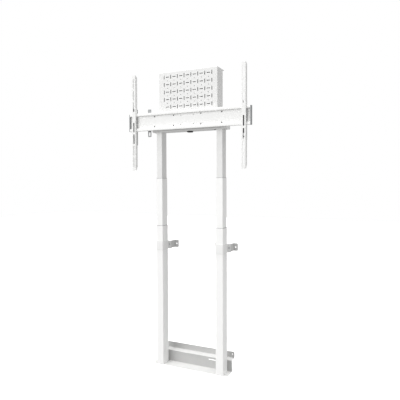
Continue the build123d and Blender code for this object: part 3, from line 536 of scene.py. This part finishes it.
def set_in(name, form, places, aim, slot, body, *nodes):
    """Put copies of one turned form at their places, as one piece that stands for CAD nodes."""
    points, faces = form
    mesh = bpy.data.meshes.new(name)
    all_points = []
    all_faces = []
    for place in places:
        first = len(all_points)
        put = Matrix.Translation(place) @ aim
        all_points.extend((put @ Vector(point)) * MM for point in points)
        all_faces.extend(tuple(first + i for i in face) for face in faces)
    mesh.from_pydata(all_points, [], all_faces)
    mesh.shade_smooth()
    mesh.set_sharp_from_angle(angle=SHARP)
    mesh.materials.append(FINISHES[slot])
    piece = put_in_scene(name, mesh)
    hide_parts(*nodes)
    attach(piece, body)
    return piece


# Places of the part's screws: axes of the columns, crossbar, clamps, beam, floor bracket and arms
COLUMN_X = 222.5
BOLT_XS = (-246.5, -100.0, 100.0, 246.5)
BOLT_ZS = (1648.5, 1716.5)
WEB_FRONT = -52.5
CLAMP_SCREW_X = 41.0
CLAMP_SCREW_Z = 833.0
EAR_FRONT = 35.5
CROWN_BACK = 40.5
BEAM_FLOOR = 1612.0
BASE_SCREW_Z = 0.3
ARM_X = 400.0
LOCK_Y = -52.5
LOCK_SEAT = 1599.7
# Width across the flats of the hexagons, whose corners lie 11 mm apart
HEXAGON_FLATS = 11.0 * math.cos(math.radians(30))


def column_places(reach, depth, height):
    """Four places round each column's axis."""
    signs = (-1, 1)
    return [(side * COLUMN_X + x * reach, y * depth, height)
            for side in signs for x in signs for y in signs]


def fit_screws():
    """Screws and nuts that hold the part together, with their heads, sockets and threads."""
    # Button heads through the crossbar
    form = button_screw(head_radius=4.0, head=2.6, across=3.0, size=M5, end=9.4)
    places = [(x, WEB_FRONT, z) for x in BOLT_XS for z in BOLT_ZS]
    set_in("crossbar_button_screws", form, places, FORWARD, "black_steel",
           "carriage", "crossbar_bolts")
    # Hexagon screws and nuts through the ears of the clamps
    xs = [side * COLUMN_X + ear * CLAMP_SCREW_X for side in (-1, 1) for ear in (-1, 1)]
    form = hexagon_screw(HEXAGON_FLATS, head=4.0, size=M6, end=13.0)
    places = [(x, EAR_FRONT, CLAMP_SCREW_Z) for x in xs]
    set_in("clamp_hexagon_screws", form, places, FORWARD, "zinc_steel", "frame", "clamp_screws")
    form = hexagon_nut(HEXAGON_FLATS, height=5.0, size=M6)
    places = [(x, CROWN_BACK, CLAMP_SCREW_Z) for x in xs]
    set_in("clamp_hexagon_nuts", form, places, BACKWARD, "zinc_steel", "frame", "clamp_nuts")
    # Countersunk screws from below through the floor bracket
    form = countersunk_screw(head_radius=4.5, head=2.0, across=4.0, size=M6, end=10.2)
    places = column_places(reach=13.0, depth=24.0, height=BASE_SCREW_Z)
    set_in("base_countersunk_screws", form, places, DOWNWARD, "zinc_steel",
           "frame", "base_screws")
    # Pan heads in the floor of the motor beam
    form = pan_screw(head_radius=4.5, head=3.0, across=3.0, size=M5, end=10.0)
    places = column_places(reach=13.0, depth=19.0, height=BEAM_FLOOR)
    set_in("beam_pan_screws", form, places, UPWARD, "zinc_steel", "carriage", "beam_screws")
    # Hexagon screws that lock the arms, heads down
    form = hexagon_screw(HEXAGON_FLATS, head=6.0, size=M6, end=22.0)
    for hand, side in HANDS.items():
        places = [(side * ARM_X, LOCK_Y, LOCK_SEAT)]
        set_in(hand + "_lock_hexagon_screw", form, places, DOWNWARD, "zinc_steel",
               hand + "_arm_unit", hand + "_lock_screw")


# Two-start trapezoid threads: radius, radius at the root and 4 mm from crest to crest, so that a
# turn gives 8 mm of travel
SOLID_SIZE = (5.0, 3.6, 4.0)
HOLLOW_SIZE = (8.5, 7.4, 4.0)
# Heights between which they are cut
SOLID_THREADED = (1211.5, 1590.0)
HOLLOW_THREADED = (839.0, 1210.0)
# Profiles, as radius and height, below the thread and above it with a thrust collar
SOLID_FOOT = ((4.2, 1210.0), (4.6, 1211.0))
SOLID_TOP = ((5.0, 1596.7), (8.6, 1596.7), (9.0, 1597.1), (9.0, 1601.3),
             (8.6, 1601.7), (5.0, 1601.7), (5.0, 1639.5), (4.5, 1640.0))
HOLLOW_FOOT = ((6.0, 838.0), (7.4, 838.0))
HOLLOW_TOP = ((8.5, 1223.0), (12.1, 1223.0), (12.5, 1223.4),
              (12.5, 1227.6), (12.1, 1228.0), (6.0, 1228.0))


def cut_drive_screws():
    """Solid and hollow drive screws inside the columns, whose threads lift the crossbar."""
    solid = cut_thread(SOLID_SIZE, *SOLID_THREADED, starts=2)
    solid = shell(turned_rings(SOLID_FOOT) + solid + turned_rings(SOLID_TOP))
    hollow = cut_thread(HOLLOW_SIZE, *HOLLOW_THREADED, starts=2)
    hollow = shell(turned_rings(HOLLOW_FOOT) + hollow + turned_rings(HOLLOW_TOP), hollow=True)
    for hand, side in HANDS.items():
        places = [(side * COLUMN_X, 0, 0)]
        set_in(hand + "_threaded_drive_screw", solid, places, UPWARD, "drive_steel",
               hand + "_top_drive", hand + "_drive_screw")
        set_in(hand + "_threaded_hollow_screw", hollow, places, UPWARD, "drive_steel",
               hand + "_hollow_drive", hand + "_hollow_screw")


place_camera()
light_studio()
lay_floor()
dress_frame()
fit_screws()
cut_drive_screws()
bpy.context.scene.view_settings.view_transform = "Standard"
